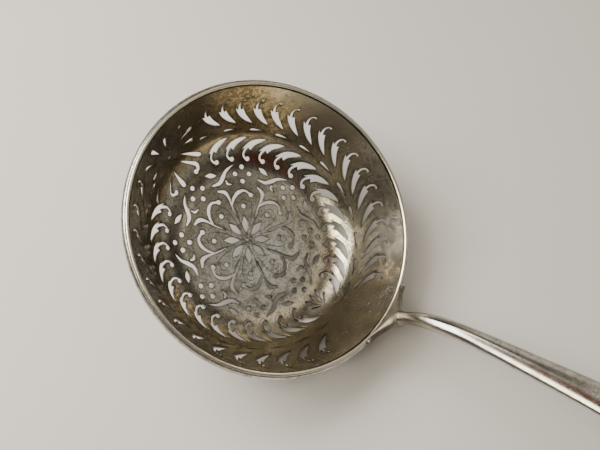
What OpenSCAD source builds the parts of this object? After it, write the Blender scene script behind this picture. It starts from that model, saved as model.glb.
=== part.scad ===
// Pierced sifting ladle: a dished bowl with leaf garlands, an applied rim wire and a rising handle.
// Every part is drawn round the bowl's own axis, with the rim in the plane z = 0 and the handle towards
// +X. The ladle then tips until it rests on the bowl's lower bend and on the tip of the handle.
// Millimetres, +Z up, with the origin where the bowl touches the table.

/* [Bowl] */
// Radius of the lip, inside the sheet
lip_r = 27.85; // [27:0.05:29]
// Depth from the lip to the inside of the flat base
bowl_depth = 16; // [15:0.5:17]
// Slope of the straight wall above the horizontal
wall_slope = 62; // [60:1:64]
// Inside radius of the bend between base and wall
bend_r = 9.5; // [9:0.25:10]
// Thickness of the sheet
sheet_t = 0.5; // [0.5:0.1:0.7]

/* [Rim] */
// Radius of the half-round rim wire
wire_r = 1.15; // [0.9:0.05:1.25]
// Half angle of the gap in the wire that the foot fills
foot_angle = 14; // [12:0.5:16]
// Leg of the solder fillet under the wire and under the foot
fillet_leg = 0.35; // [0.2:0.05:0.45]

/* [Handle] */
// Length of the top line of the handle, from lip to tip
handle_len = 114; // [104:1:122]
// Full width just past the neck
neck_w = 2.9; // [2.6:0.1:3.4]
// How much narrower the neck itself is
neck_pinch = 0.25; // [0:0.05:0.35]
// Full width near the tip
tip_w = 15; // [11:0.5:17]
// Thickness at the neck
neck_t = 3.2; // [2.6:0.1:3.6]
// Thickness at the tip
tip_t = 1.6; // [1.4:0.1:2]
// Length of the foot, from the lip to the seam in the neck
foot_len = 3.2; // [2.8:0.1:4]
// Thickness of the brazed seam in the neck
seam_t = 0.25; // [0.15:0.05:0.4]

/* [Piercing] */
// Outer leaves on the left and on the right of the handle
outer_leaves = [17, 14]; // [1:17]
// Inner leaves on each side
inner_leaves = 13; // [1:13]
// Drops along the rib between the leaf rows, on the left and on the right
rib_drops = [11, 12]; // [1:12]
// Petals of the centre flower, with a cluster of dots and a scroll beyond each
petals = 8; // [5:1:8]
// Diameter of a cluster dot
dot_d = 1.05; // [0.9:0.05:1.3]

/* [Hidden] */

round_fn = 96;             // facets of circles that are cut or turned
silver = "#b9b1a0";
bright = "#cfcabd";
solder = "#8d8778";

// The bowl's section. The wall leans out from the bend to the lip.
wall_run = cos(wall_slope);
wall_rise = sin(wall_slope);
bend_tangent = bend_r * tan(wall_slope / 2);
flat_r = lip_r - bowl_depth / tan(wall_slope) - bend_tangent;
bend_z = -bowl_depth + bend_r;
wall_len = bowl_depth / wall_rise - bend_tangent;
lip_out = lip_r + sheet_t / wall_rise;

// A point on the outside of the wall, at this distance below the lip along the slope.
function wall_outside(drop) = [lip_out - drop * wall_run, -drop * wall_rise];

// The handle's top line rises from the lip, bends back at the neck and arches down to the tip.
rise_slope = 82;
back_slope = 34;
neck_bend = 13;            // length over which the neck bends back
arch_start = 34;           // where the arch starts, along the line
arch_turn = 50;            // how far the arch turns by the tip
line_step = 0.5;
function ease(x) = let(c = min(1, max(0, x))) c * c * (3 - 2 * c);
function line_slope(s) = back_slope + (rise_slope - back_slope) * exp(-pow(s / neck_bend, 2))
    - arch_turn * ease((s - arch_start) / (handle_len - arch_start));
line_points = [
    for (i = 0, p = [lip_r, 0]; i * line_step <= handle_len + line_step;
        i = i + 1, p = p + line_step * [cos(line_slope(i * line_step)), sin(line_slope(i * line_step))])
    p
];
function line_at(s) = let(
    i = floor(s / line_step),
    f = s / line_step - i
) line_points[i] * (1 - f) + line_points[i + 1] * f;

// Width and thickness along the handle. The foot flares out to the lip and the tip is rounded off.
foot_base_w = lip_r * sin(foot_angle);
flare_len = 1.3;           // how fast the foot's flare dies out
pinch_at = 4.5;
pinch_over = 4;
widening = 1.65;           // above 1 the handle widens late
tip_round = 7;
tip_start = handle_len - tip_round;
function half_width(s) = let(
    body = neck_w / 2 + (tip_w - neck_w) / 2 * pow(min(s, tip_start) / tip_start, widening),
    pinch = 1 - neck_pinch * exp(-pow((s - pinch_at) / pinch_over, 2)),
    flare = (foot_base_w - neck_w / 2) * exp(-s / flare_len),
    past = max(0, s - tip_start) / tip_round
) (body * pinch + flare) * sqrt(max(0.0004, 1 - past * past));
base_t = 1.35;             // thickness at the lip
thin_over = 30;            // length over which the handle thins
function half_thick(s) = let(
    stem = (tip_t + (neck_t - tip_t) * exp(-s / thin_over)) / 2,
    past = max(0, s - tip_start) / tip_round
) (base_t / 2 + (stem - base_t / 2) * ease(s / foot_len)) * sqrt(max(0.02, 1 - pow(past, 4)));

// One cross-section of the handle. At the lip it is a level strip that follows the lip's curve, and
// from the neck on it is an oval square to the top line.
section_points = 24;
ridge = 0.3;               // how far the upper side comes to a soft ridge
ridge_end = 60;
square_power = 0.3;        // roundness of the level strip at the lip
function bulge(x, power) = sign(x) * pow(abs(x), power);
function section(s, proud = 0) = let(
    blend = ease(s / foot_len),
    power = square_power + (1 - square_power) * blend,
    sharp = ridge * blend * ease((ridge_end - s) / ridge_end),
    p = line_at(s),
    dip = -(90 - line_slope(s)) * blend,
    w = half_width(s) + proud,
    h = half_thick(s) + proud
) [
    for (i = [0 : section_points - 1])
    let(
        a = i * 360 / section_points,
        y = w * bulge(cos(a), sin(a) > 0.01 ? power + sharp : power),
        d = h * (1 - bulge(sin(a), power)) - proud,
        sag = (lip_r - sqrt(lip_r * lip_r - y * y)) * (1 - blend)
    ) [p[0] + d * cos(dip) - sag, y, p[1] + d * sin(dip)]
];

// A closed skin through a list of cross-sections.
module loft(rings) {
    n = section_points;
    last = (len(rings) - 1) * n;
    polyhedron(
        points = [for (ring = rings) each ring],
        faces = concat(
            [[for (i = [0 : n - 1]) i]],
            [[for (i = [0 : n - 1]) last + n - 1 - i]],
            [
                for (r = [0 : len(rings) - 2], i = [0 : n - 1])
                let(a = r * n + i, b = r * n + (i + 1) % n)
                each [[a, b + n, b], [a, a + n, b + n]]
            ]
        ),
        convexity = 6
    );
}

// How far the ladle tips. It touches the table under the bend and under the tip of the handle.
tip_under = line_at(handle_len);
tip_half = half_thick(handle_len);
lean_x = tip_under[0] - flat_r;
lean_z = tip_under[1] - bend_z;
lean = atan2(lean_z, lean_x)
    + asin((bend_r + sheet_t - 2 * tip_half) / sqrt(lean_x * lean_x + lean_z * lean_z));

module at_rest() {
    translate([0, 0, bend_r + sheet_t]) rotate([0, lean, 0]) translate([-flat_r, 0, -bend_z]) children();
}

// Places a flat motif on the wall, this far below the lip: x up the slope, y round the bowl, z inwards.
module on_wall(angle, drop) {
    rotate([0, 0, angle])
        translate([lip_r - drop * wall_run, 0, -drop * wall_rise])
            rotate([0, -wall_slope, 0]) children();
}

// Places a flat motif on the bend, where the sheet has this slope.
module on_bend(angle, slope) {
    rotate([0, 0, angle])
        translate([flat_r + bend_r * sin(slope), 0, bend_z - bend_r * cos(slope)])
            rotate([0, -slope, 0]) children();
}

// Places a flat motif on the base.
module on_base(angle, r = 0) {
    rotate([0, 0, angle]) translate([r, 0, -bowl_depth]) children();
}

// The angle that a step along the wall or the bend takes at this radius.
function turn(step, r) = step / r * 180 / PI;

// Sinks a flat motif through the sheet. inner is how far the cut starts inside the motif's own plane.
through = 1.8;             // how far the cut reaches past that plane
module pierce(inner = 0.6) {
    translate([0, 0, -through]) linear_extrude(through + inner) children();
}

// A motif drawn with x away from the handle and y towards the lip, turned to lie on the wall.
module upright(points) {
    polygon([for (p = points) [p[1], p[0]]]);
}

// A cut that is pointed at the origin and blunt at the other end.
module drop_cut(length, width) {
    half = width / 2;
    polygon([
        [0, 0], [0.45 * length, -0.55 * half], [0.85 * length, -half], [length, -0.55 * half],
        [length, 0.55 * half], [0.85 * length, half], [0.45 * length, 0.55 * half]
    ]);
}

// A cut that is pointed at both ends.
module lens_cut(length, width) {
    half = width / 2;
    polygon([
        [0, 0], [0.3 * length, -0.8 * half], [0.6 * length, -half],
        [length, 0], [0.6 * length, half], [0.3 * length, 0.8 * half]
    ]);
}

// A tapering line through these points. w holds its width at each of them.
function heading(line, i) = let(d = line[min(i + 1, len(line) - 1)] - line[max(i - 1, 0)]) d / norm(d);
function beside(line, w, i) = let(d = heading(line, i)) w[i] / 2 * [-d[1], d[0]];
function brush(line, w) = concat(
    [for (i = [0 : len(line) - 1]) line[i] + beside(line, w, i)],
    [for (i = [len(line) - 1 : -1 : 0]) line[i] - beside(line, w, i)]
);

// Leaf of the outer row. It starts at the rib and splits into a spike, a hooked curl and a spike.
outer_leaf = [
    [0, 0], [1.5, 0.6], [2.85, 1.6], [3.9, 2.75], [4.85, 4.3], [4.25, 3.9], [4.33, 4.7],
    [4.32, 5.5], [3.9, 6.2], [3.3, 6.4], [3.1, 6.15], [3.3, 5.9], [3.7, 5.85], [3.98, 5.3], [3.9, 4.5],
    [3.65, 3.75], [3.2, 4.2], [2.8, 3.4], [2.15, 2.45], [0.95, 1.1]
];
outer_mid = [2.4, 3];

// Leaf of the inner row, drawn from the ball at the end of its curl to the point at the rib.
inner_leaf = [
    [-3.55, 4.85], [-2.45, 4.75], [-1.2, 4.4], [0, 3.75], [0.8, 2.9], [1.6, 1.8], [1, 2.15],
    [1.02, 1.7], [1.17, 0.9], [0.8, 0.05], [0.4, -0.36], [0, -0.5], [-0.4, -0.3], [-0.5, 0.05],
    [-0.3, 0.4], [0.1, 0.48], [0.4, 0.38], [0.73, 0.95], [0.5, 1.7], [0.2, 2.3],
    [-0.05, 2.3], [-0.45, 1.85], [-0.75, 2.35], [-1.3, 3], [-2.45, 3.85]
];
inner_mid = [-1, 2.4];
inner_slope = 37.5;

// The whole pattern sits a little round from the handle.
pattern_turn = -1.75;

// Garlands. Each starts beside the star and ends before the foot. Their pitch and their height on
// the wall differ a little from side to side, as hand work does.
outer_start = 148;
outer_pitch = [8.575, 10];
outer_drop = [10.6, 9.2];
inner_start = [152.1, 156];
inner_pitch = 11.45;
rib_start = [151.2, 155.7];
rib_pitch = [14.7, 13.2];
rib_drop = [12.1, 11.2];
rib_cut = [3.6, 0.72];
module garland_cuts(side) {
    outer_mid_drop = outer_drop[side] - outer_mid[1];
    outer_r = lip_r - outer_mid_drop * wall_run;
    for (i = [0 : outer_leaves[side] - 1])
        on_wall(outer_start - i * outer_pitch[side] + turn(outer_mid[0], outer_r), outer_mid_drop)
            pierce() upright([for (p = outer_leaf) p - outer_mid]);
    inner_r = flat_r + bend_r * sin(inner_slope);
    for (i = [0 : inner_leaves - 1])
        on_bend(inner_start[side] - i * inner_pitch + turn(inner_mid[0], inner_r), inner_slope)
            pierce(1) upright([for (p = inner_leaf) p - inner_mid]);
    rib_r = lip_r - rib_drop[side] * wall_run;
    for (i = [0 : rib_drops[side] - 1])
        on_wall(rib_start[side] - i * rib_pitch[side] + turn(rib_cut[0] / 2, rib_r), rib_drop[side])
            pierce(0.9) rotate([0, 0, 90]) translate([-rib_cut[0] / 2, 0]) drop_cut(rib_cut[0], rib_cut[1]);
}

// Star opposite the handle. Each ray holds its direction, its inner and outer radius, and its width.
star_angle = 181.2;
star_drop = 10.3;
upper_rays = [
    [-65, 2.8, 7.5, 0.8], [0, 2.4, 6.2, 0.8], [-36, 6.1, 7.2, 0.7], [30, 4, 8.2, 0.8],
    [51, 4.6, 9.2, 0.75], [84, 3.4, 5.9, 1], [-95, 2.9, 6.5, 1]
];
lower_rays = [[123, 3.9, 8.8, 0.8], [180, 4.1, 8.7, 1.05], [-129, 3.2, 8.8, 1.05]];
left_comma = [[-4.3, 2.3], [-5.7, 3.6], [-7, 4.6], [-7.9, 4.45], [-8.2, 3.6]];
left_w = [0.1, 0.55, 0.8, 0.75, 0.9];
right_comma = [[-4.9, -1.1], [-6.1, -2.4], [-7.2, -3.4], [-8, -3.3], [-8.15, -2.4]];
right_w = [0.1, 0.5, 0.55, 0.6, 0.85];
star_eye = 0.8;
lower_slope = 45;
lower_shift = (star_drop - wall_len) - (wall_slope - lower_slope) * PI / 180 * bend_r;
module ray(r) {
    rotate([0, 0, r[0]]) translate([r[1], 0]) drop_cut(r[2] - r[1], r[3]);
}
module star_cuts() {
    on_wall(star_angle, star_drop) {
        pierce() circle(d = star_eye, $fn = round_fn);
        for (r = upper_rays) pierce() ray(r);
    }
    on_bend(star_angle, lower_slope) translate([-lower_shift, 0, 0]) {
        for (r = lower_rays) pierce(1.4) ray(r);
        pierce(1.4) polygon(brush(left_comma, left_w));
        pierce(1.4) polygon(brush(right_comma, right_w));
    }
}

// Palmette in front of the foot: a fan of drops that point at the foot. Each drop holds its
// direction and its length.
palmette_drops = [[0, 3.3], [27, 3.5], [-27, 3.4], [55, 2.4], [-57, 2.2]];
palmette_w = 0.42;
palmette_angle = -2.5;
palmette_slope = 36;       // where on the bend the fan starts
palmette_shift = 1.6;
palmette_eye = 0.9;        // metal left where the drops meet
module palmette_cuts() {
    on_bend(palmette_angle, palmette_slope) translate([palmette_shift, 0, 0])
        for (d = palmette_drops)
            pierce(1.2) rotate([0, 0, 180 + d[0]]) translate([palmette_eye, 0]) drop_cut(d[1], palmette_w);
}

// Base motifs turn with the petals. A small twist sets them off the handle's own plane.
twist = -1.5;
cluster_r = 14.1;
cluster_half = 1.55;
scroll = [[16.1, 1.9], [14.8, 3.5], [13.3, 4.3], [12.1, 5.1], [11.5, 6.6]];
scroll_w = [0.1, 0.6, 0.85, 0.75, 0.35];
crescent = [[12.75, 3.65], [12, 3.35], [11.85, 2.3]];
crescent_w = [0.3, 0.55, 0.1];
bud_at = [13.75, 5.6];
bud = [2.7, 0.95];         // length and width
module border_cuts() {
    for (i = [0 : petals - 1]) {
        angle = i * 360 / petals + twist;
        for (k = [0 : 3])
            on_base(angle, cluster_r) rotate([0, 0, k * 90]) translate([cluster_half, 0])
                pierce(1.4) circle(d = dot_d, $fn = round_fn);
        on_base(angle) pierce(1.4) polygon(brush(scroll, scroll_w));
        on_base(angle) pierce() polygon(brush(crescent, crescent_w));
        on_base(angle) translate(bud_at) rotate([0, 0, 93]) pierce(1.2) lens_cut(bud[0], bud[1]);
    }
}

// Flower in the middle of the base. Each petal has a lens, a dot, a curled edge and a dividing line.
flower_x = -0.3;
flower_twist = -1;
eye_d = 0.55;
petal_lens = [3.6, 1.3];   // length and width
lens_r = 1.45;             // where each lens starts
petal_dot = [7.1, 1];      // distance from the middle, and diameter
petal_edge = [[7, 2.5], [8.6, 2.05], [9.95, 0.9], [10.35, -0.6], [9.5, -1.75], [9, -1.6]];
edge_w = [0.12, 0.6, 0.75, 0.6, 0.85, 0.9];
divider = [[4.3, -2.2], [6.3, -3], [8.1, -4], [9.7, -4.4], [10.9, -3.5]];
divider_w = [0.1, 0.3, 0.5, 0.85, 0.4];
module flower_cuts() {
    translate([flower_x, 0, 0]) {
        on_base(0) pierce() circle(d = eye_d, $fn = round_fn);
        for (i = [0 : petals - 1])
            on_base(i * 360 / petals + flower_twist) {
                translate([lens_r, 0]) pierce() lens_cut(petal_lens[0], petal_lens[1]);
                translate([petal_dot[0], 0]) pierce() circle(d = petal_dot[1], $fn = round_fn);
                pierce() polygon(brush(petal_edge, edge_w));
                pierce() polygon(brush(divider, divider_w));
            }
    }
}

// Raised sheet bowl: flat base, round bend and straight wall.
module bowl() {
    color(silver) at_rest() difference() {
        sheet();
        rotate([0, 0, pattern_turn]) {
            garland_cuts(0);
            mirror([0, 1, 0]) garland_cuts(1);
            star_cuts();
            palmette_cuts();
            border_cuts();
            flower_cuts();
        }
    }
}

// The sheet before it is pierced. Its three zones meet on the lines where the bend starts and ends.
function bend_end(r) = [flat_r + r * wall_rise, bend_z - r * wall_run];
module sheet() {
    outer_r = bend_r + sheet_t;
    corner = [flat_r, bend_z];
    far_end = bend_end(2 * outer_r);
    union() {
        translate([0, 0, -bowl_depth - sheet_t]) cylinder(r = flat_r, h = sheet_t, $fn = round_fn);
        rotate_extrude($fn = round_fn) intersection() {
            difference() {
                translate(corner) circle(r = outer_r, $fn = round_fn);
                translate(corner) circle(r = bend_r, $fn = round_fn);
            }
            polygon([corner, corner - [0, 2 * outer_r], far_end - [0, outer_r], far_end]);
        }
        rotate_extrude($fn = round_fn)
            polygon([bend_end(bend_r), bend_end(outer_r), [lip_out, 0], [lip_r, 0]]);
    }
}

// Half-round wire with its flat side on the outside of the wall.
wire_drop = wire_r + 0.1;  // its middle, below the lip
wire_ends = foot_angle + 0.3;
module wire_section() {
    translate(wall_outside(wire_drop)) rotate([0, 0, wall_slope]) difference() {
        circle(r = wire_r, $fn = round_fn);
        translate([-2 * wire_r, 0]) square([4 * wire_r, 2 * wire_r]);
    }
}

module rim_wire() {
    color(bright) at_rest() rotate([0, 0, wire_ends])
        rotate_extrude(angle = 360 - 2 * wire_ends, $fn = round_fn) wire_section();
}

// Solder in the corner under the wire.
module rim_solder() {
    top = wall_outside(wire_drop + wire_r - 0.2);
    color(solder) at_rest() rotate([0, 0, wire_ends])
        rotate_extrude(angle = 360 - 2 * wire_ends, $fn = round_fn) difference() {
            polygon([
                top, top + fillet_leg * [wall_rise, -wall_run], wall_outside(wire_drop + wire_r + fillet_leg)
            ]);
            translate(wall_outside(wire_drop)) circle(r = wire_r, $fn = round_fn);
        }
}

// One level ring of the leg, this far below the lip. Its inner side follows the outside of the wall.
braze = 0.1;               // gap between the leg and the wall
leg_half = lip_out * sin(foot_angle);
function leg_in(low) = lip_out + braze - low / tan(wall_slope);
function leg_section(low, thick, drop_off = 0) = [
    for (i = [0 : section_points - 1])
    let(
        a = i * 360 / section_points,
        y = leg_half * bulge(cos(a), square_power),
        out = (1 - bulge(sin(a), square_power)) / 2
    ) [sqrt(pow(leg_in(low), 2) - y * y) + out * thick, y, -low - drop_off * out]
];

// Flared foot. A fan stands on the lip and narrows to the neck, and a leg laps the outside of the wall.
leg_toe = [2, 0.35];       // depth below the lip, and thickness there
leg_belly = [1.2, 1.05];
leg_edge = [0.35, 0.9];
foot_rings = 16;
module handle_foot() {
    color(silver) at_rest() loft(concat(
        [leg_section(leg_toe[0], leg_toe[1]), leg_section(leg_belly[0], leg_belly[1])],
        [leg_section(leg_edge[0], leg_edge[1]), leg_section(0, lip_r + base_t - leg_in(0), 0.1)],
        [for (i = [0 : foot_rings]) section(foot_len * i / foot_rings)]
    ));
}

// Solder in the corner under the leg of the foot.
module foot_solder() {
    low = leg_toe[0];
    wall = lip_out - low / tan(wall_slope);
    color(solder) at_rest()
        rotate([0, 0, -foot_angle]) rotate_extrude(angle = 2 * foot_angle, $fn = round_fn)
            polygon([
                [wall, -low], [wall + braze + leg_toe[1], -low],
                [wall - fillet_leg * wall_run, -low - fillet_leg * wall_rise]
            ]);
}

// Brazed seam, a little proud of the neck.
seam_proud = 0.06;
module neck_solder() {
    color(solder) at_rest() loft([
        section(foot_len), section(foot_len + seam_t / 2, seam_proud), section(foot_len + seam_t)
    ]);
}

// Stem: oval at the neck, wide and flat at the rounded tip. Rings crowd together at the tip.
stem_rings = 44;
tip_rings = 12;
module handle_stem() {
    stem_start = foot_len + seam_t;
    color(bright) at_rest() loft(concat(
        [for (i = [0 : stem_rings]) section(stem_start + (tip_start - stem_start) * i / stem_rings)],
        [for (i = [1 : tip_rings]) section(tip_start + tip_round * sin(90 * i / tip_rings))]
    ));
}

bowl();
rim_wire();
rim_solder();
handle_foot();
foot_solder();
neck_solder();
handle_stem();
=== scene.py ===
import math

import bpy
import numpy as np
from mathutils import Matrix, Vector, kdtree, noise
from mathutils.geometry import delaunay_2d_cdt


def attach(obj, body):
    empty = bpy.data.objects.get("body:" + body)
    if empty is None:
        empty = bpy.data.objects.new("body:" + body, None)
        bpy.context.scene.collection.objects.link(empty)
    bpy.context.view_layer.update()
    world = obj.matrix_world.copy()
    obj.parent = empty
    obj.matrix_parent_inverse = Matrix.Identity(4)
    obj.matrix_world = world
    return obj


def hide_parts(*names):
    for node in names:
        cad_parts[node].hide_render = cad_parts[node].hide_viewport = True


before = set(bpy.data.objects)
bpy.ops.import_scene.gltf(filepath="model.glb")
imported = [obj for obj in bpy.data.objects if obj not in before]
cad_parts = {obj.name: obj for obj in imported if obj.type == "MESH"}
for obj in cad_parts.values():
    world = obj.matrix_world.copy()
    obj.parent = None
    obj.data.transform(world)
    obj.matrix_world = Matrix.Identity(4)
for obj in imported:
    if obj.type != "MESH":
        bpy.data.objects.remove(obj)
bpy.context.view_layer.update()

# ---------------------------------------------------------------- sizes, in millimetres
# Bowl frame: the origin is the centre of the rim, +X points to the handle and +Z out of the bowl.
LIP_R, DEPTH, SLOPE, BEND_R, SHEET = 27.85, 16.0, math.radians(62), 9.5, 0.5
WIRE_R, WIRE_DROP, WIRE_SIDES, WIRE_STEPS = 1.15, 1.25, 14, 520
FOOT_ANGLE, FOOT_LEN, FOOT_HALF = math.radians(14), 3.2, .675
HANDLE_LEN, TIP_LEN = 114.0, 7.0
NECK_W, TIP_W, NECK_T, TIP_T = 2.9, 15.0, 3.2, 1.6
LEAN = math.radians(25.982)     # the lean of the rim when the ladle rests on its bend and its tip
TURN = math.radians(-1.75)      # how far the cut pattern is turned from the handle

RUN, RISE = math.cos(SLOPE), math.sin(SLOPE)
TANGENT = BEND_R * math.tan(SLOPE / 2)
FLAT_R = LIP_R - DEPTH / math.tan(SLOPE) - TANGENT
WALL = DEPTH / RISE - TANGENT
BEND = BEND_R * SLOPE
REACH = WALL + BEND + FLAT_R
BEND_Z = BEND_R - DEPTH
LIP_OUT = LIP_R + SHEET / RISE


def turned_xz(x, z):
    """The lean of the ladle at rest, for one pair of coordinates or for arrays of them."""
    return x * math.cos(LEAN) + z * math.sin(LEAN), -x * math.sin(LEAN) + z * math.cos(LEAN)


def at_rest(points):
    """Bowl frame in millimetres -> row frame in metres: the ladle lies on its bend and its tip."""
    p = np.asarray(points, float).reshape(-1, 3) - (FLAT_R, 0, BEND_Z)
    x, z = turned_xz(p[:, 0], p[:, 2])
    return np.stack([x, p[:, 1], z + BEND_R + SHEET], 1) / 1000


def turned(normals):
    """Directions in the bowl frame -> directions in the row frame."""
    n = np.asarray(normals, float).reshape(-1, 3)
    x, z = turned_xz(n[:, 0], n[:, 2])
    out = np.stack([x, n[:, 1], z], 1)
    return out / np.linalg.norm(out, axis=1)[:, None]


# ---------------------------------------------------------------- outlines of the cuts
def around(x, y, r, angle):
    """The point at this distance from x, y, in the direction of the angle, in radians."""
    return x + r * math.cos(angle), y + r * math.sin(angle)


def curve(a, b, c, d, t):
    """One coordinate of the smooth curve from b to c, with a before it and d after it."""
    square = 2 * a - 5 * b + 4 * c - d
    cube = 3 * b - a - 3 * c + d
    return 0.5 * (2 * b + (c - a) * t + square * t * t + cube * t ** 3)


def spline(points, corners=(), closed=True, steps=5):
    """A smooth line through the points that keeps the listed corners sharp."""
    n, out = len(points), []

    def at(i):
        return points[i % n] if closed else points[min(max(i, 0), n - 1)]

    for i in range(n if closed else n - 1):
        before, start, end, after = at(i - 1), at(i), at(i + 1), at(i + 2)
        if i % n in corners:
            before = start
        if (i + 1) % n in corners:
            after = end
        for k in range(steps):
            out.append(tuple(curve(*four, k / steps) for four in zip(before, start, end, after)))
    if not closed:
        out.append(tuple(points[-1]))
    return out


def ease(x):
    """A smooth step from 0 to 1."""
    c = min(1.0, max(0.0, x))
    return c * c * (3 - 2 * c)


def disc(x, y, r, n=22):
    return [around(x, y, r, 2 * math.pi * k / n) for k in range(n)]


def brush(line, widths, ball=0.0, steps=5):
    """A stroke of changing width along a smooth line, with a round end and, if wanted, a ball on it."""
    mid = spline(line, closed=False, steps=steps)
    wide = []
    for a, b in zip(widths, widths[1:]):
        for k in range(steps):
            t = ease(k / steps)
            wide.append(a * (1 - t) + b * t)
    wide.append(widths[-1])
    left, right = [], []
    for i, (x, y) in enumerate(mid):
        a, b = mid[max(i - 1, 0)], mid[min(i + 1, len(mid) - 1)]
        dx, dy = b[0] - a[0], b[1] - a[1]
        q = math.hypot(dx, dy) or 1
        left.append((x - dy / q * wide[i] / 2, y + dx / q * wide[i] / 2))
        right.append((x + dy / q * wide[i] / 2, y - dx / q * wide[i] / 2))
    x, y = mid[-1]
    way = math.atan2(y - mid[-2][1], x - mid[-2][0])
    cap = [around(x, y, wide[-1] / 2, way + math.pi / 2 - math.pi * k / 6) for k in range(1, 6)]
    outline = left + cap + right[::-1]
    return [outline, disc(x, y, ball)] if ball else [outline]


def drop(length, width):
    """A drop with its point at the origin and its round end along +X."""
    w = width / 2
    return [spline([
        (0, 0), (length * .45, w * .55), (length * .85, w), (length, w * .55),
        (length, -w * .55), (length * .85, -w), (length * .45, -w * .55)
    ], corners=(0,), steps=4)]


def lens(length, width):
    """A leaf shape with a point at the origin and one along +X."""
    w = width / 2
    return [spline([
        (0, 0), (length * .3, w * .8), (length * .6, w),
        (length, 0), (length * .6, -w), (length * .3, -w * .8)
    ], corners=(0, 3), steps=4)]


def moved(outlines, dx=0.0, dy=0.0, rot=0.0):
    c, s = math.cos(math.radians(rot)), math.sin(math.radians(rot))
    return [[(c * x - s * y + dx, s * x + c * y + dy) for x, y in line] for line in outlines]


def ray(way, start, length, width):
    """A drop that points away from the origin, in the direction of way, in degrees."""
    return moved(moved(drop(length, width), dx=start), rot=way)


def mirrored(outlines):
    return [[(-x, y) for x, y in line][::-1] for line in outlines]


def profile(rho):
    """Distance from the bowl's centre along the sheet -> radius and height of the inside skin."""
    if rho <= FLAT_R:
        return rho, -DEPTH
    if rho <= FLAT_R + BEND:
        a = (rho - FLAT_R) / BEND_R
        return FLAT_R + BEND_R * math.sin(a), -DEPTH + BEND_R - BEND_R * math.cos(a)
    d = REACH - rho
    return LIP_R - d * RUN, -d * RISE


def spread(rho, theta):
    """A point of the flattened bowl. The whole pattern is turned a little from the handle."""
    theta += TURN
    return rho * math.cos(theta), rho * math.sin(theta)


def on_wall(outlines, angle, low, side=1):
    """x runs away from the handle round the bowl and y up to the lip. low is the depth below the lip."""
    out = []
    for line in outlines:
        flat = []
        for x, y in line:
            rho = REACH - low + y
            flat.append(spread(rho, side * (math.radians(angle) + x / profile(rho)[0])))
        out.append(flat)
    return out


def on_base(outlines, angle=0.0, r=0.0):
    """x runs from the centre of the floor outwards."""
    return [
        [spread(math.hypot(x, y), math.atan2(y, x) + math.radians(angle)) for x, y in line]
        for line in moved(outlines, dx=r)
    ]


OUTER_LEAF = [spline([
    (0, 0), (1.5, .6), (2.85, 1.6), (3.9, 2.75), (4.85, 4.3), (4.25, 3.85),
    (3.75, 3.75), (3.2, 4.2), (2.8, 3.4), (2.15, 2.45), (.95, 1.1)
], corners=(0, 4, 7), steps=4)] + brush(
    [(3.75, 3.4), (4.1, 4.5), (4.15, 5.4), (3.8, 6.05), (3.3, 6.15)], [.6, .42, .32, .36, .5])

INNER_LEAF = mirrored([spline([
    (3.55, 4.85), (2.45, 4.75), (1.2, 4.4), (0, 3.75), (-.8, 2.9), (-1.6, 1.8), (-.95, 2.15),
    (-.4, 2.45), (.05, 2.35), (.45, 1.85), (.75, 2.35), (1.3, 3.0), (2.45, 3.85)
], corners=(0, 5, 9), steps=4)] + brush(
    [(-.2, 2.8), (-.75, 1.8), (-.95, .9), (-.55, .15), (0, 0)], [.7, .5, .42, .45, .6], ball=.5))

RIB = drop(3.6, .72)


def engraved(lines):
    return [spline(line, closed=False, steps=6) for line in lines]


# Engraved lines beside each leaf and in each petal.
OUTER_VEINS = engraved((
    [(1.3, .1), (2.6, .85), (3.75, 1.9), (4.6, 3.1), (5.15, 4.3)],
    [(.6, 1.25), (1.5, 2.3), (2.2, 3.2), (2.6, 4.1)],
    [(4.45, 6.3), (3.9, 6.85), (3.1, 6.9), (2.6, 6.4)]
))
INNER_VEINS = mirrored(engraved((
    [(2.7, 5.2), (1.2, 4.85), (-.2, 4.15), (-1.1, 3.3), (-1.95, 2.1)],
    [(-1.6, 1.0), (-1.3, -.2), (-.6, -.85), (.3, -.85)]
)))
PETAL_VEINS = engraved((
    [(2.6, 1.0), (4.0, 1.25), (5.6, 1.5), (6.9, 1.9)],
    [(3.0, -1.05), (4.4, -1.35), (6.0, -1.7), (7.6, -1.75), (8.5, -1.1)],
    [(7.9, .75), (8.5, .2), (8.5, -.5), (8.0, -.95)]
))

# Each side of the bowl, then its outer leaves, its inner leaves and the ribs between them: the first angle,
# the angle from one to the next, how many, and the depth below the lip. The sides differ, as hand work does.
GARLANDS = (
    (1, ((148.0, 8.575, 17, 10.6), (152.1, 11.42, 13, 18.9), (151.2, 14.7, 11, 12.2))),
    (-1, ((148.0, 10.0, 14, 9.2), (156.0, 11.48, 13, 18.9), (155.7, 13.2, 12, 11.2))),
)


def garland(*shapes):
    """The shapes for the outer leaf, the inner leaf and the rib, repeated along both sides."""
    out = []
    for side, rows in GARLANDS:
        for shape, (first, step, count, low) in zip(shapes, rows):
            for i in range(count):
                out += on_wall(shape, first - step * i, low, side)
    return out


# Direction of each ray of the star in degrees, where it starts and ends, and its width.
STAR_RAYS = (
    (25, 2.8, 7.5, .8), (90, 2.4, 6.2, .8), (54, 6.1, 7.2, .7), (120, 4.0, 8.2, .8), (141, 4.6, 9.2, .75),
    (174, 3.4, 5.9, 1.0), (213, 3.9, 8.8, .8), (270, 4.1, 8.9, 1.05), (321, 3.2, 9.0, 1.05),
    (-5, 2.9, 6.5, 1.0)
)


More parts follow.
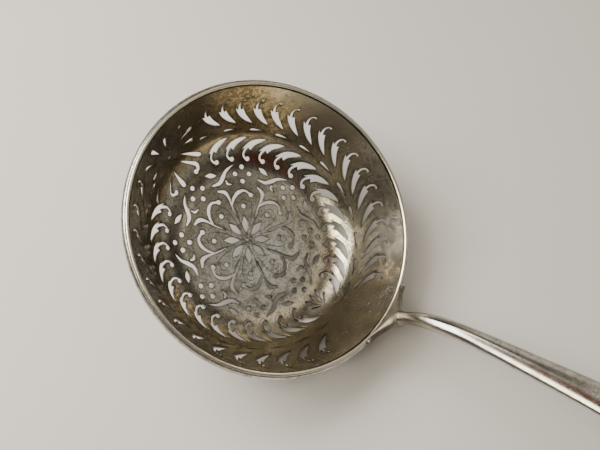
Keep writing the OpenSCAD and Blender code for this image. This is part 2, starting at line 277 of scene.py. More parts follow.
def star():
    """Ten drops and two curled strokes round a dot, on the wall opposite the handle."""
    out = [disc(0, 0, .42)]
    for way, start, end, width in STAR_RAYS:
        out += ray(way, start, end - start, width)
    out += brush([(2.4, -4), (3.7, -5.5), (4.95, -6.9), (4.7, -7.95), (3.9, -8.25)],
                 [.1, .6, .85, .7, .6], ball=.52)
    out += brush([(-1.1, -4.9), (-2.4, -6.1), (-3.45, -7.2), (-3.2, -7.95), (-2.4, -8.15)],
                 [.1, .5, .5, .5, .6], ball=.5)
    return on_wall(mirrored(out), 181.2, 10.3)


def palmette():
    """Five drops that fan out under the handle."""
    out = []
    for way, length in ((0, 3.3), (27, 3.5), (-27, 3.4), (55, 2.4), (-57, 2.2)):
        out += ray(way - 90, .5, length, .42)
    return on_wall(out, -2.5, 15.2)


def border():
    """Eight scrolls with a crescent, a bud and a group of four dots between them."""
    dots = [disc(*around(0, 0, 1.55, k * math.pi / 2), .52) for k in range(4)]
    scroll = brush([(16.1, 1.9), (14.8, 3.5), (13.3, 4.3), (12.1, 5.1), (11.5, 6.6)], [.1, .6, .85, .75, .35])
    crescent = brush([(12.75, 3.65), (12, 3.35), (11.85, 2.3)], [.3, .55, .1])
    bud = moved(lens(2.7, .95), 13.75, 5.6, 93)
    out = []
    for i in range(8):
        out += on_base(dots, 45 * i - 1.5, 14.1)
        out += on_base(scroll + crescent + bud, 45 * i - 1.5)
    return out


FLOWER_X = -.3      # the flower sits a little off the centre of the floor


def petals(shape):
    """The shape, drawn for the petal along +X, in all eight petals."""
    out = []
    for i in range(8):
        out += moved(on_base(shape, 45 * i - 1), dx=FLOWER_X)
    return out


def flower():
    """Eight petals round a small hole with six smaller ones about it."""
    core = moved(lens(3.6, 1.3), dx=1.45)
    edge = brush([(7, 2.5), (8.6, 2.05), (9.95, .9), (10.35, -.6), (9.4, -1.85)],
                 [.12, .6, .75, .5, .5], ball=.5)
    divider = brush([(4.3, -2.2), (6.3, -3), (8.1, -4), (9.7, -4.4), (10.9, -3.5)], [.1, .3, .5, .85, .4])
    eyes = [disc(*around(FLOWER_X, 0, .85, k * math.pi / 3), .17, 10) for k in range(6)]
    return [disc(FLOWER_X, 0, .28)] + eyes + petals(core + [disc(7.1, 0, .5)] + edge + divider)


# ---------------------------------------------------------------- mesh helpers
def new_object(name, points, faces, normals=None, attributes=None):
    mesh = bpy.data.meshes.new(name)
    mesh.from_pydata([tuple(p) for p in points], [], [tuple(f) for f in faces])
    mesh.update()
    mesh.shade_smooth()
    for label, data in (attributes or {}).items():
        mesh.attributes.new(label, "FLOAT", "POINT").data.foreach_set("value", np.asarray(data, np.float32))
    if normals is not None:
        mesh.normals_split_custom_set([tuple(n) for n in normals])
    obj = bpy.data.objects.new(name, mesh)
    bpy.context.scene.collection.objects.link(obj)
    return obj


def fold(x, y, scale, seed):
    """Smooth unevenness of this many waves a millimetre."""
    return noise.noise(Vector((x * scale + seed, y * scale - seed, seed * .37)))


# Dents near the handle: depth below the lip, degrees round from the handle, radius and depth of the dent.
DENTS = (
    (2.0, -5, 1.7, .10), (3.6, 11, 1.6, .08), (4.8, -12, 1.9, .07), (1.6, 20, 1.0, .05),
    (7.6, 4, 2.2, .08), (8.0, -20, 1.6, .05), (5.4, 2, 1.2, .04)
)
DENT_SPOTS = [(*around(0, 0, REACH - low, math.radians(a)), 1.2 * r, d) for low, a, r, d in DENTS]


FLOOR_DISH = .5
DENTS_START = 20    # all the dents lie further than this towards the handle


def dish(x, y):
    """How far the sheet is raised, in millimetres, at this place on the flattened bowl: the floor is
    slightly dished, and the hammer and later knocks left it uneven."""
    rho = math.hypot(x, y)
    hollow = FLOOR_DISH * min(1, rho / FLAT_R) ** 2 * (1 - ease((rho - FLAT_R) / BEND))
    if x > DENTS_START:
        for u, v, r, d in DENT_SPOTS:
            hollow += d * math.exp(-((x - u) ** 2 + (y - v) ** 2) / (r * r))
    hollow += .03 + .020 * fold(x, y, .16, 3.1)
    return hollow + .008 * fold(x, y, .42, 8.7) + .002 * fold(x, y, 1.1, 5.2)


# ---------------------------------------------------------------- the pierced bowl
FILED = .1                              # how much wider each cut is at the back, on each side
SOFT = .055                             # the worn corners of the cuts
GROOVE_W, GROOVE_DEEP = .26, .07        # an engraved line
CUT_STEP, GRID_STEP = .3, .52           # longest edge along a cut, spacing of the points between cuts
EDGE_R, RIM_STEPS = REACH - .26, 480    # where the skins meet the worn lip
GRID_RINGS = 71
CUT_CLEAR, GROOVE_CLEAR = .17, .13      # how far those points keep from cuts and from grooves
# The lip, from the inside skin to the outside skin: rounded by wear, level on top.
LIP_LINE = [(LIP_R - .07, -.13), (LIP_R - .01, -.05), (LIP_R + .08, -.01), (LIP_R + .2, 0),
            (LIP_R + .32, -.01), (LIP_R + .43, -.06), (LIP_R + .46, -.14)]
FRONT, BACK, CUT, LIP = range(4)        # kinds of face


def tilt(x, y):
    """A point of the flattened bowl -> distance from the centre, direction and slope of the skin."""
    rho, theta = math.hypot(x, y), math.atan2(y, x)
    slope = min(SLOPE, max(0.0, (rho - FLAT_R) / BEND_R))
    return rho, math.cos(theta), math.sin(theta), slope


def skin(x, y):
    """A point of the flattened bowl -> its place on the inside skin and the way the skin faces, with and
    without the unevenness."""
    rho, c, s, slope = tilt(x, y)
    r, z = profile(rho)
    up = np.array((-math.sin(slope) * c, -math.sin(slope) * s, math.cos(slope)))
    outward = np.array((math.cos(slope) * c, math.cos(slope) * s, math.sin(slope)))
    sideways = np.array((-s, c, 0.0))
    h, e = dish(x, y), .05
    gx, gy = (dish(x + e, y) - h) / e, (dish(x, y + e) - h) / e
    normal = up - (gx * c + gy * s) * outward - (-gx * s + gy * c) * sideways
    return np.array((r * c, r * s, z)) + h * up, normal / np.linalg.norm(normal), up


def skin_step(x, y, dx, dy):
    """A step on the flattened bowl -> the same step on the skin."""
    _, c, s, slope = tilt(x, y)
    outward, sideways = dx * c + dy * s, dy * c - dx * s
    level = outward * math.cos(slope)
    return level * c - sideways * s, level * s + sideways * c, outward * math.sin(slope)


def add_cuts(points):
    """Adds the outlines of all the cuts to the points. Gives the numbers of the points of each outline."""
    holes = []
    for line in garland(OUTER_LEAF, INNER_LEAF, RIB) + star() + palmette() + border() + flower():
        if sum(x0 * y1 - x1 * y0 for (x0, y0), (x1, y1) in zip(line, line[1:] + line[:1])) < 0:
            line = line[::-1]
        first = len(points)
        for (x0, y0), (x1, y1) in zip(line, line[1:] + line[:1]):
            gap = math.hypot(x1 - x0, y1 - y0)
            n = math.ceil(gap / CUT_STEP) if gap >= .02 else 0
            points += [(x0 + (x1 - x0) * k / n, y0 + (y1 - y0) * k / n) for k in range(n)]
        holes.append(list(range(first, len(points))))
    return holes


def add_grooves(points):
    """Adds the two sides and the bottom of each engraved line to the points. Gives their edges and the
    numbers of the points at the bottom."""
    bottom, edges = set(), []
    for line in garland(OUTER_VEINS, INNER_VEINS) + petals(PETAL_VEINS):
        for row in (-1, 0, 1):
            for k, (x, y) in enumerate(line):
                a, b = line[max(k - 1, 0)], line[min(k + 1, len(line) - 1)]
                dx, dy = b[0] - a[0], b[1] - a[1]
                taper = math.sin(math.pi * (k + .4) / (len(line) - .2)) ** .5
                half = row * GROOVE_W / 2 * taper / math.hypot(dx, dy)
                if row == 0:
                    bottom.add(len(points))
                if k:
                    edges.append((len(points) - 1, len(points)))
                points.append((x - dy * half, y + dx * half))
    return edges, bottom


def tree_of(points):
    tree = kdtree.KDTree(len(points))
    for i, (x, y) in enumerate(points):
        tree.insert((x, y, 0), i)
    tree.balance()
    return tree


def flat_sheet():
    """The flattened bowl with its cuts open: points, triangles, 1 for each point at the bottom of an
    engraved line, and the distance from each point to the nearest cut."""
    points = []
    holes = add_cuts(points)
    cuts = tree_of(points)
    first = len(points)
    edges, bottom = add_grooves(points)
    grooves = tree_of(points[first:])
    grid = [(0.9, 0.4)]
    for k in range(1, GRID_RINGS):
        rho = EDGE_R * k / GRID_RINGS
        n = max(6, round(2 * math.pi * profile(rho)[0] / GRID_STEP))
        grid += [around(0, 0, rho, 2 * math.pi * (j + .5 * (k % 2)) / n) for j in range(n)]
    points += [
        p for p in grid if cuts.find((*p, 0))[2] > CUT_CLEAR and grooves.find((*p, 0))[2] > GROOVE_CLEAR
    ]
    points += [around(0, 0, EDGE_R, 2 * math.pi * j / RIM_STEPS) for j in range(RIM_STEPS)]
    flat, _, triangles, sources, _, owners = delaunay_2d_cdt(
        [Vector(p) for p in points], edges, holes, 0, 1e-5, True)
    flat = np.array([tuple(p) for p in flat])
    metal = [tuple(t) for t, own in zip(triangles, owners) if not own]
    # every triangle runs anticlockwise
    metal = [t if np.cross(flat[t[1]] - flat[t[0]], flat[t[2]] - flat[t[0]]) > 0 else (t[0], t[2], t[1])
             for t in metal]
    used = sorted({i for t in metal for i in t})
    number = {old: new for new, old in enumerate(used)}
    metal = [tuple(number[i] for i in t) for t in metal]
    sunk = np.array([any(v in bottom for v in sources[i]) for i in used], float)
    flat = flat[used]
    return flat, metal, sunk, np.array([cuts.find((*p, 0))[2] for p in flat])


def into_metal(flat, cut_edges):
    """For each point, the direction away from the cut it is on, or 0, 0, and whether it is on a cut."""
    inward = np.zeros((len(flat), 2))
    for a, b in cut_edges:
        d = flat[b] - flat[a]
        n = np.array((-d[1], d[0])) / (np.linalg.norm(d) + 1e-9)
        inward[a] += n
        inward[b] += n
    length = np.linalg.norm(inward, axis=1)
    on_cut = length > 1e-6
    inward[on_cut] /= length[on_cut][:, None]
    inward[~on_cut] = 0
    return inward, on_cut


def unit(v):
    return v / (np.linalg.norm(v) + 1e-12)


def shading(verts, faces, kinds, normal_in):
    """The normal at each corner of each face: the skins follow the raised sheet, and the walls of the
    cuts and the lip are averaged."""
    count = len(normal_in)
    loose = np.zeros((len(verts), 3))
    for face, kind in zip(faces, kinds):
        if kind in (CUT, LIP):
            p = verts[list(face)]
            normal = unit(np.cross(p[1] - p[0], p[2] - p[0]) + np.cross(p[2] - p[0], p[3] - p[0]))
            for i in face:
                loose[i] += normal
    size = np.linalg.norm(loose, axis=1)
    loose[size > 0] /= size[size > 0][:, None]

    def at_corner(i, kind):
        if kind == FRONT:
            return normal_in[i]
        if kind == BACK:
            return -normal_in[i - count]
        if kind == CUT and i < count:
            return unit(loose[i] + normal_in[i])
        if kind == CUT and i < 2 * count:
            return unit(loose[i] - normal_in[i - count])
        return loose[i]

    return [at_corner(i, kind) for face, kind in zip(faces, kinds) for i in face]


def build_bowl():
    """Both skins of the sheet, the walls of the cuts between them, and the lip."""
    flat, metal, sunk, distance = flat_sheet()
    count = len(flat)
    sides = dict.fromkeys(e for a, b, c in metal for e in ((a, b), (b, c), (c, a)))
    outside = {i for i in range(count) if math.hypot(*flat[i]) > EDGE_R - 1e-3}
    cut_edges = [
        (a, b) for a, b in sides if (b, a) not in sides and not (a in outside and b in outside)
    ]
    inward, on_cut = into_metal(flat, cut_edges)
    inner, normal_in, up_in = map(np.array, zip(*(skin(x, y) for x, y in flat + inward * SOFT)))
    cut_top, _, up_cut = map(np.array, zip(*(skin(x, y) for x, y in flat[on_cut])))
    steps = np.array([skin_step(x, y, dx, dy) for (x, y), (dx, dy) in zip(flat, inward)])
    outer = inner - up_in * SHEET + FILED * steps
    inner = inner - up_in * (GROOVE_DEEP * sunk)[:, None]
    verts = [inner, outer, cut_top - up_cut * SOFT, cut_top - up_cut * (SHEET - SOFT)]
    faces, kinds = [], []
    for a, b, c in metal:
        faces += [(a, b, c), (count + a, count + c, count + b)]
        kinds += [FRONT, BACK]
    # each wall of a cut has a worn corner at the top and one at the bottom
    top = {int(v): 2 * count + k for k, v in enumerate(np.flatnonzero(on_cut))}
    for a, b in cut_edges:
        if a in top and b in top:
            high_a, high_b, low_a, low_b = top[a], top[b], top[a] + len(top), top[b] + len(top)
            faces += [(b, a, high_a, high_b), (high_b, high_a, low_a, low_b),
                      (low_b, low_a, count + a, count + b)]
            kinds += [CUT] * 3
    lip_start = 2 * (count + len(top))
    angle = {i: math.atan2(flat[i][1], flat[i][0]) for i in outside}
    rim = sorted(outside, key=lambda i: angle[i])
    n = len(rim)
    for r, z in LIP_LINE:
        verts.append(np.array([(*around(0, 0, r, angle[i]), z) for i in rim]))
    rings = [[lip_start + k * n + j for j in range(n)] for k in range(len(LIP_LINE))]
    chain = [rim] + rings + [[count + i for i in rim]]
    for low, high in zip(chain, chain[1:]):
        for j in range(n):
            k = (j + 1) % n
            faces.append((low[j], low[k], high[k], high[j]))
            kinds.append(LIP)
    verts = np.concatenate(verts)
    # "cut" is 1 beside a cut, over 1 in it, 0 away from the cuts and -1 on the lip
    # Beside the cuts this array drives painted shade in the silver materials, and on the lip the bright worn
    # colour with a painted highlight.
    near_cut = np.zeros(len(verts))
    near_cut[:count] = near_cut[count:2 * count] = np.clip(1 - distance / 1.2, 0, 1)
    near_cut[2 * count:lip_start] = 1.6
    near_cut[lip_start:] = -1
    groove = np.zeros(len(verts))
    groove[:count] = sunk
    normals = turned(shading(verts, faces, kinds, normal_in))
    return new_object("pierced_bowl", at_rest(verts), faces, normals, {"cut": near_cut, "groove": groove})


# ---------------------------------------------------------------- sweeps: wire, foot and stem
def sweep(name, rings):
    """A closed skin over a list of rings of points, in the bowl frame."""
    n = len(rings[0])
    verts = np.concatenate([np.asarray(r, float) for r in rings])
    faces = []
    for k in range(len(rings) - 1):
        for j in range(n):
            i = (j + 1) % n
            faces.append((k * n + j, k * n + i, (k + 1) * n + i, (k + 1) * n + j))
    faces.append(tuple(range(n))[::-1])
    faces.append(tuple((len(rings) - 1) * n + j for j in range(n)))
    return new_object(name, at_rest(verts), faces)


def wall_outside(down):
    """Radius and height of the outside skin this far down from the lip."""
    return LIP_OUT - down * RUN, -down * RISE


def ring_along(section, start, end, steps):
    """Rings for a sweep round the bowl. section gives the radius and height of its points."""
    rings = []
    for k in range(steps + 1):
        a = start + (end - start) * k / steps
        rings.append([(*around(0, 0, r, a), z) for r, z in section(a)])
    return rings


def build_wire():
    """The half-round wire, flattened a little by wear, its ends dressed down beside the foot."""
    mid_r, mid_z = wall_outside(WIRE_DROP)
    end = FOOT_ANGLE + math.radians(.3)

    def section(a):
        from_end = min(a - end, 2 * math.pi - end - a) / math.radians(1.6)
        full = 1 if from_end > 1 else 1 - (1 - max(from_end, 0)) ** 2 * .35
        r = WIRE_R * full * (.985 + .012 * fold(*around(0, 0, 20, a), .21, 2.2))
        offsets = []
        for k in range(WIRE_SIDES + 1):
            t = math.pi * k / WIRE_SIDES
            worn = 1 - .06 * math.sin(t) ** 6
            offsets.append((r * math.cos(t), r * math.sin(t) * worn))
        offsets += [(-.5 * r, -.02), (.5 * r, -.02)]
        return [(mid_r + up * RUN + out * RISE, mid_z + up * RISE - out * RUN) for up, out in offsets[::-1]]

    return sweep("rim_wire_round", ring_along(section, end, 2 * math.pi - end, WIRE_STEPS))


# Slope of the handle in degrees: along its middle, the steeper start, and the fall towards the tip.
STEM_RISE, NECK_RISE, NECK_REACH, FALL, FALL_START = 34, 48, 13, 50, 34
# How the width grows towards the tip, the pinch just past the foot, and how soon the foot's flare ends.
WIDENING, PINCH, PINCH_AT, PINCH_REACH, FLARE_REACH = 1.65, .25, 4.5, 4, 1.3
THIN_REACH = 30             # how soon the neck thins to the stem
RIDGE, RIDGE_END = .3, 60   # how sharp the ridge on top is, and where it ends
LINE_STEP, FOOT_STEPS, STEM_STEPS = .25, 26, 220


def line_slope(s):
    fall = FALL * ease((s - FALL_START) / (HANDLE_LEN - FALL_START))
    return math.radians(STEM_RISE + NECK_RISE * math.exp(-(s / NECK_REACH) ** 2) - fall)


# The line of the handle's upper side, in steps from the lip.
LINE = [(LIP_R, 0.0)]
while len(LINE) * LINE_STEP <= HANDLE_LEN + .6:
    LINE.append(around(*LINE[-1], LINE_STEP, line_slope((len(LINE) - 1) * LINE_STEP)))


def line_at(s):
    i = int(s / LINE_STEP)
    f = s / LINE_STEP - i
    return tuple(p * (1 - f) + q * f for p, q in zip(LINE[i], LINE[i + 1]))


def half_width(s):
    start = HANDLE_LEN - TIP_LEN
    body = NECK_W / 2 + (TIP_W - NECK_W) / 2 * (min(s, start) / start) ** WIDENING
    pinch = 1 - PINCH * math.exp(-((s - PINCH_AT) / PINCH_REACH) ** 2)
    flare = (LIP_R * math.sin(FOOT_ANGLE) - NECK_W / 2) * math.exp(-s / FLARE_REACH)
    past = max(0.0, s - start) / TIP_LEN
    return (body * pinch + flare) * math.sqrt(max(.0004, 1 - past * past))


def half_thick(s):
    stem = (TIP_T + (NECK_T - TIP_T) * math.exp(-s / THIN_REACH)) / 2
    past = max(0.0, s - (HANDLE_LEN - TIP_LEN)) / TIP_LEN
    return (FOOT_HALF + (stem - FOOT_HALF) * ease(s / FOOT_LEN)) * math.sqrt(max(.02, 1 - past ** 4))


def handle_ring(s, n=40):
    """The section of the handle at this distance along it: squarish and bent round the lip at the foot,
    then round below with a slight ridge above."""
    mix = ease(s / FOOT_LEN)
    power = .3 + .7 * mix
    x0, z0 = line_at(s)
    dip = -(math.pi / 2 - line_slope(s)) * mix
    w, h = half_width(s) * .995, half_thick(s)
    ring = []
    for i in range(n):
        a = 2 * math.pi * i / n
        ridge = RIDGE * mix * ease((RIDGE_END - s) / RIDGE_END) if math.sin(a) > .01 else 0
        y = w * math.copysign(abs(math.cos(a)) ** (power + ridge), math.cos(a))
        d = h * (1 - math.copysign(abs(math.sin(a)) ** power, math.sin(a)))
        sag = (LIP_R - math.sqrt(LIP_R ** 2 - min(y * y, 600))) * (1 - mix)
        ring.append((x0 + d * math.cos(dip) - sag, y, z0 + d * math.sin(dip)))
    return ring


def build_foot():
    """The fan that stands on the lip and the leg that laps the outside of the wall, joined into one skin."""
    fan = sweep("foot", [handle_ring(FOOT_LEN * k / FOOT_STEPS, 72) for k in range(FOOT_STEPS + 1)])
    top = LIP_R + 2 * FOOT_HALF
    outline = [(LIP_OUT - .05, .12), (top - .03, .12), (top + .03, -.1), (top + .05, -.35),
               (top - .03, -.8), (top - .25, -1.2), wall_outside(2.3), (LIP_OUT - .5, -.9)]
    leg = sweep("foot_leg", ring_along(lambda a: outline[::-1], -FOOT_ANGLE, FOOT_ANGLE, 48))
    join = fan.modifiers.new("join", "BOOLEAN")
    join.object, join.operation, join.solver = leg, "UNION", "EXACT"
    bpy.context.view_layer.update()
    whole = bpy.data.meshes.new_from_object(fan.evaluated_get(bpy.context.evaluated_depsgraph_get()))
    fan.modifiers.clear()
    fan.data = whole
    bpy.data.objects.remove(leg)
    return fan


def build_stem():
    steps = [FOOT_LEN + (HANDLE_LEN - FOOT_LEN) * (k / STEM_STEPS) for k in range(STEM_STEPS + 1)]
    return sweep("stem", [handle_ring(min(s, HANDLE_LEN - .02)) for s in steps])


# ---------------------------------------------------------------- materials
class Nodes:
    """A short way to write a node tree."""

    def __init__(self, tree):
        self.tree = tree

    def add(self, kind, inputs=None, **settings):
        node = self.tree.nodes.new(kind)
        for key, value in settings.items():
            setattr(node, key, value)
        for key, value in (inputs or {}).items():
            self.put(node.inputs[key], value)
        return node

    def put(self, socket, value):
        if isinstance(value, bpy.types.NodeSocket):
            self.tree.links.new(value, socket)
        else:
            socket.default_value = value

    def set_shader(self, **values):
        for key, value in values.items():
            self.put(self.tree.nodes["Principled BSDF"].inputs[key.replace("_", " ")], value)

    def math(self, op, a, b=0.0):
        return self.add("ShaderNodeMath", {0: a, 1: b}, operation=op).outputs[0]

    def plus(self, a, b):
        return self.math("ADD", a, b)

    def times(self, a, b):
        return self.math("MULTIPLY", a, b)

    def noise(self, where, scale, detail=4.0, rough=.5, warp=0.0):
        return self.add("ShaderNodeTexNoise", {
            "Vector": where, "Scale": scale, "Detail": detail, "Roughness": rough, "Distortion": warp
        }).outputs["Fac"]

    def squeezed(self, where, rotation, scale):
        return self.add("ShaderNodeMapping", {
            "Vector": where, "Rotation": rotation, "Scale": scale
        }).outputs[0]

    def vector(self, op, a, b):
        return self.add("ShaderNodeVectorMath", {0: a, 1: b}, operation=op).outputs

    def attribute(self, name):
        return self.add("ShaderNodeAttribute", attribute_name=name).outputs["Fac"]

    def ramp(self, value, stops):
        node = self.add("ShaderNodeValToRGB", {"Fac": value})
        band = node.color_ramp
        while len(band.elements) < len(stops):
            band.elements.new(.5)
        for element, (at, colour) in zip(band.elements, stops):
            element.position = at
            element.color = (*colour, 1)
        return node.outputs["Color"]

    def level(self, value, low, high, to_low=0.0, to_high=1.0):
        return self.add("ShaderNodeMapRange", {
            "Value": value, "From Min": low, "From Max": high, "To Min": to_low, "To Max": to_high
        }).outputs["Result"]

    def mix(self, factor, a, b):
        node = self.add("ShaderNodeMix", data_type="RGBA")
        self.put(node.inputs["Factor"], factor)
        for name, colour in (("A", a), ("B", b)):
            self.put(node.inputs[name], colour if isinstance(colour, bpy.types.NodeSocket) else (*colour, 1))
        return node.outputs["Result"]


def new_material(name):
    material = bpy.data.materials.new(name)
    material.use_nodes = True
    return material, Nodes(material.node_tree)


CREAM_HIGHLIGHT, STRAW, WORN = (.84, .77, .56), (.60, .46, .26), (.70, .69, .63)
DULL, DARK = (.24, .225, .18), (.20, .18, .15)
GOLD_SHEEN, WORN_LIP_AND_HIGHLIGHT = (1.0, .87, .60), (1.0, .94, .78)
BROWN, STAIN, SOOT = (.19, .16, .11), (.13, .105, .08), (.10, .08, .06)
TARNISH_AND_SHADE, CUT_WALL_SHADE, GROOVE_SHADE = (.06, .045, .03), (.07, .055, .04), (.05, .04, .03)


def silver(name, tarnish, rough, scratch, age=1.0, patches=()):
    """Old silver: clean metal, warm tarnish in clouds, tarnish and painted shade in hollows, painted shade in
    the cuts and the engraved lines, fine scratches and pits.
    Each patch is a place in the bowl frame, its reach in millimetres, its colour, its strength and how
    strongly it is roughened. Straw-coloured patches also carry bright gold flecks; on the upper far wall they
    paint the gold reflection seen there."""
    material, m = new_material(name)
    where = m.add("ShaderNodeTexCoord").outputs["Object"]
    place = m.vector("MULTIPLY", where, (1000, 1000, 1000))[0]
    cut = m.attribute("cut")
    cloud = m.noise(place, .33, 5, .62, .9)
    grain = m.noise(place, 2.3, 4, .6)
    fine = m.noise(place, 5.5, 3, .65)

    tone = m.ramp(m.level(m.noise(place, .085, 3, .55, .6), .3, .7), tarnish)
    rugged, straw_area = .3, 0.0
    for centre, reach, colour, strength, bumpy in patches:
        far = m.vector("DISTANCE", place, tuple(at_rest([centre])[0] * 1000))["Value"]
        near = m.level(m.plus(far, m.times(cloud, reach * .5)), reach * 1.25, reach * .45)
        tone = m.mix(m.times(near, strength), tone, colour)
        if bumpy:
            rugged = m.math("MAXIMUM", rugged, m.times(near, bumpy))
        if colour == STRAW:
            straw_area = m.math("MAXIMUM", straw_area, near)

    flecks = m.level(m.plus(m.times(cloud, .55), m.times(grain, .45)), .46, .60)
    stains = m.level(m.noise(place, .85, 5, .72, .8), .52, .62)
    # Painted reflection: bright gold flecks in the straw patches.
    sheen_flecks = m.times(straw_area, m.level(m.noise(place, 1.1, 4, .7, .6), .50, .56))
    # Tarnish and painted shade: the metal is darker and rougher where nearby sheet encloses it, read from
    # occlusion, at the cuts and in creases.
    hollow = m.add("ShaderNodeAmbientOcclusion", {"Distance": .0018}, samples=6).outputs["AO"]
    hollow_tarnish_and_shade = m.math("SUBTRACT", 1.0, m.level(hollow, .3, .92))
    # Painted shade: the walls of the cuts and a thin band round each are coloured dark, standing in for the
    # shade on the sheet's thickness.
    cut_wall_shade = m.times(m.level(cut, .74, .97), m.level(grain, .25, .6, .45, 1.0))
    # Painted shade: the bottom of each engraved line is coloured dark, because its smooth normals give the
    # groove no shade of its own.
    lines = m.level(m.attribute("groove"), .15, .8)
    for amount, strength, colour in (
        (flecks, .62 * age, BROWN), (stains, .5 * age, STAIN), (m.level(fine, .52, .66), .38 * age, SOOT),
        (sheen_flecks, .95, GOLD_SHEEN), (hollow_tarnish_and_shade, .8, TARNISH_AND_SHADE), (cut_wall_shade, .72, CUT_WALL_SHADE), (lines, .88, GROOVE_SHADE),
        # The lip: brighter worn metal, tinted gold as a painted highlight.
        (m.level(cut, -.35, -.8), .9, WORN_LIP_AND_HIGHLIGHT)
    ):
        tone = m.mix(m.times(amount, strength), tone, colour)

    clouded = m.plus(rough, m.times(m.level(cloud, .4, .72), .14))
    long_way = m.noise(m.squeezed(place, (.3, .2, .7), (9, .7, 2.5)), 1.6, 3, .6)
    cross_way = m.noise(m.squeezed(place, (.1, .5, -.5), (.8, 11, 2)), 1.2, 3, .6)
    pits = m.level(m.add("ShaderNodeTexVoronoi", {"Vector": place, "Scale": 1.7}).outputs["Distance"], 0, .16)
    height = m.plus(m.times(m.plus(long_way, cross_way), scratch), m.times(pits, .18))
    height = m.plus(m.plus(height, m.times(grain, .35)), m.times(fine, .2 * age))
    bump = m.add("ShaderNodeBump", {"Height": height, "Strength": rugged, "Distance": .00005})
    m.set_shader(Base_Color=tone, Metallic=1.0, Roughness=m.plus(clouded, m.times(hollow_tarnish_and_shade, .25)),
                 Normal=bump.outputs["Normal"])
    return material


# Tarnish from its darkest to its cleanest.
inside_tones = [
    (0.0, (.34, .29, .20)), (.35, (.50, .45, .34)), (.65, (.62, .575, .455)), (1.0, (.75, .71, .60))
]
handle_tones = [(0.0, (.55, .52, .45)), (.5, (.71, .68, .62)), (1.0, (.84, .82, .77))]
wire_tones = [(0.0, (.46, .43, .37)), (.5, (.62, .60, .55)), (1.0, (.78, .77, .73))]
solder_tones = [(0.0, (.14, .12, .09)), (.5, (.30, .27, .21)), (1.0, (.50, .47, .40))]
bowl_patches = [
    ((3, -3, -DEPTH), 15, WORN, 1.0, 0),
    ((-9, 8, -DEPTH), 9, DARK, .6, 0),
    ((-3, 25.5, -4), 12, DARK, 1.0, .8),
    ((25, -4, -5), 17, DULL, .95, .8),
    ((-12, -22, -8), 15, DARK, .7, .5),
    ((-27, -2, -6), 11, DARK, .7, .8),
    # Painted reflection: straw gold with bright flecks on the upper far wall gives it the gold sheen that
    # reflection gives it.
    ((-19.5, 17.5, -3), 9, STRAW, .9, 1.5),
    ((-12, 22, -8), 6, STRAW, .8, 1.5),
    ((26, 10, -4), 4, STRAW, .5, .6),
    ((-4, -20, -12), 6, STRAW, .7, .8),
    # Painted highlight: a brighter cream patch on the right bend tints the highlight that falls there cream.
    ((16.5, 14, -12.5), 6, CREAM_HIGHLIGHT, .8, 1.2),
]
foot_patches = [((29, 0, 1), 16, DULL, .95, 1.0)]
neck_patches = [((32, 0, 6), 9, DULL, .8, .8)]

for piece, node, slot, material in (
    (build_bowl(), "bowl", "bowl_silver",
     silver("tarnished_silver", inside_tones, .16, .5, 1.0, bowl_patches)),
    (build_wire(), "rim_wire", "handle_silver",
     silver("worn_wire_silver", wire_tones, .2, .6)),
    (build_stem(), "handle_stem", "handle_silver",
     silver("polished_silver", handle_tones, .12, .5, .5, neck_patches)),
    (build_foot(), "handle_foot", "handle_silver",
     silver("foot_silver", inside_tones, .28, .6, 1.0, foot_patches)),
):
    piece.data.materials.append(material)
    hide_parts(node)
    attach(piece, "root")

pitted = silver("pitted_solder", solder_tones, .42, .9)
for name in ("rim_solder", "foot_solder", "neck_solder"):
    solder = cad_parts[name]
    solder.data.materials.clear()
    solder.data.materials.append(pitted)


# ---------------------------------------------------------------- floor, light and camera
def build_floor():
    mesh = bpy.data.meshes.new("floor")
    mesh.from_pydata([(-2, -2, 0), (2, -2, 0), (2, 2, 0), (-2, 2, 0)], [], [(0, 1, 2, 3)])
    floor = bpy.data.objects.new("floor", mesh)
    bpy.context.scene.collection.objects.link(floor)
    material, m = new_material("pale_floor")
    soft = m.noise(m.add("ShaderNodeTexCoord").outputs["Object"], 9.0, 3)
    m.set_shader(Base_Color=m.ramp(soft, [(.3, (.60, .575, .55)), (.7, (.64, .615, .59))]), Roughness=.85)
    mesh.materials.append(material)


def toward(azimuth, elevation):
    a, e = math.radians(azimuth), math.radians(elevation)
    return math.cos(a) * math.cos(e), math.sin(a) * math.cos(e), math.sin(e)


def build_window():
    """A rectangular light to the left of the bowl, facing it."""
    where = Vector(toward(197, 51)) * .24
    data = bpy.data.lights.new("window", "AREA")
    data.shape, data.size, data.size_y = "RECTANGLE", .17, .15
    data.energy, data.color = .9, (1.0, .965, .905)
    lamp = bpy.data.objects.new("window", data)
    lamp.location = where
    lamp.rotation_euler = (Vector((0, 0, .01)) - where).to_track_quat("-Z", "Y").to_euler()
    bpy.context.scene.collection.objects.link(lamp)


# The room, from straight down to straight up: a pale band near the floor, and dark above it so that the
# metal has something dark to mirror.
ROOM_TONES = [
    (0.0, (.34, .33, .31)), (.30, (.40, .39, .37)), (.46, (.075, .07, .065)), (1.0, (.11, .105, .10))
]
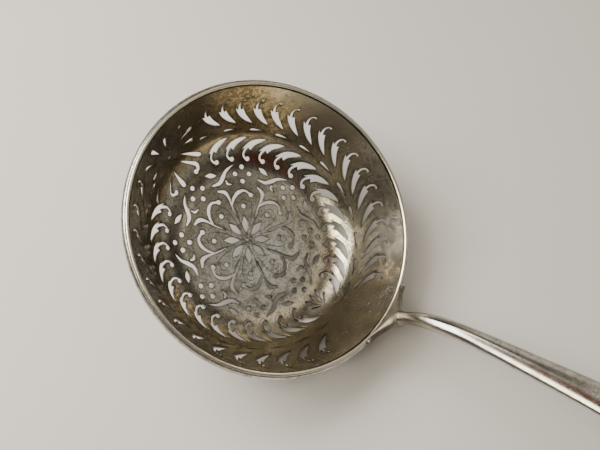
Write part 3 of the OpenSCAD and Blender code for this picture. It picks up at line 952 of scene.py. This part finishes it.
# Soft areas of light and colour in the room: azimuth, elevation and radius in degrees, and colour.
ROOM_AREAS = [
    (-14, 40, 16, (.16, .035, .025)),
    (45, 64, 22, (.74, .71, .64)),
    (66, 72, 11, (1.3, 1.22, 1.02)),
    (97, 27, 21, (.62, .57, .47)),
    (-105, 65, 17, (7.5, 6.9, 5.4)),
    (-168, 72, 12, (1.0, .95, .80)),
    (148, 58, 13, (3.4, 3.25, 2.9)),
    (72, 53, 13, (1.15, 1.02, .76)),
    (150, 84, 17, (.13, .045, .035)),
    (24, 29, 12, (.30, .27, .23)),
]


def build_room():
    world = bpy.data.worlds.new("room")
    world.use_nodes = True
    m = Nodes(world.node_tree)
    way = m.add("ShaderNodeTexCoord").outputs["Generated"]
    height = m.add("ShaderNodeSeparateXYZ", {0: way}).outputs["Z"]
    room = m.ramp(m.plus(height, m.times(m.noise(way, 1.6, 2), .12)), ROOM_TONES)
    for azimuth, elevation, radius, colour in ROOM_AREAS:
        along = m.vector("DOT_PRODUCT", way, toward(azimuth, elevation))["Value"]
        edge, full = math.cos(math.radians(radius)), math.cos(math.radians(radius * .55))
        room = m.mix(m.level(along, edge, full), room, colour)
    background = m.tree.nodes["Background"]
    m.put(background.inputs["Color"], room)
    background.inputs["Strength"].default_value = 1.0
    bpy.context.scene.world = world


# The camera hangs over the bowl, a little in front of it and to the left of the handle. Its place is in
# the bowl frame, and its directions are in the frame of the cut pattern.
CAM_PLACE = (-23.55, -60.11, 135.7)
CAM_RIGHT, CAM_UP, CAM_BACK = (.7395, .5455, .3945), (-.6521, .7260, .2185), (-.1672, -.4189, .8925)


def with_pattern(v):
    return (*spread(math.hypot(v[0], v[1]), math.atan2(v[1], v[0])), v[2])


def build_camera():
    data = bpy.data.cameras.new("camera")
    data.lens, data.sensor_width = 48.0, 36.0
    data.clip_start, data.clip_end = .005, 10
    camera = bpy.data.objects.new("camera", data)
    bpy.context.scene.collection.objects.link(camera)
    turn = Matrix([turned([with_pattern(v)])[0] for v in (CAM_RIGHT, CAM_UP, CAM_BACK)]).transposed()
    camera.matrix_world = Matrix.Translation(Vector(at_rest([CAM_PLACE])[0])) @ turn.to_4x4()
    bpy.context.scene.camera = camera


build_floor()
build_room()
build_window()
build_camera()
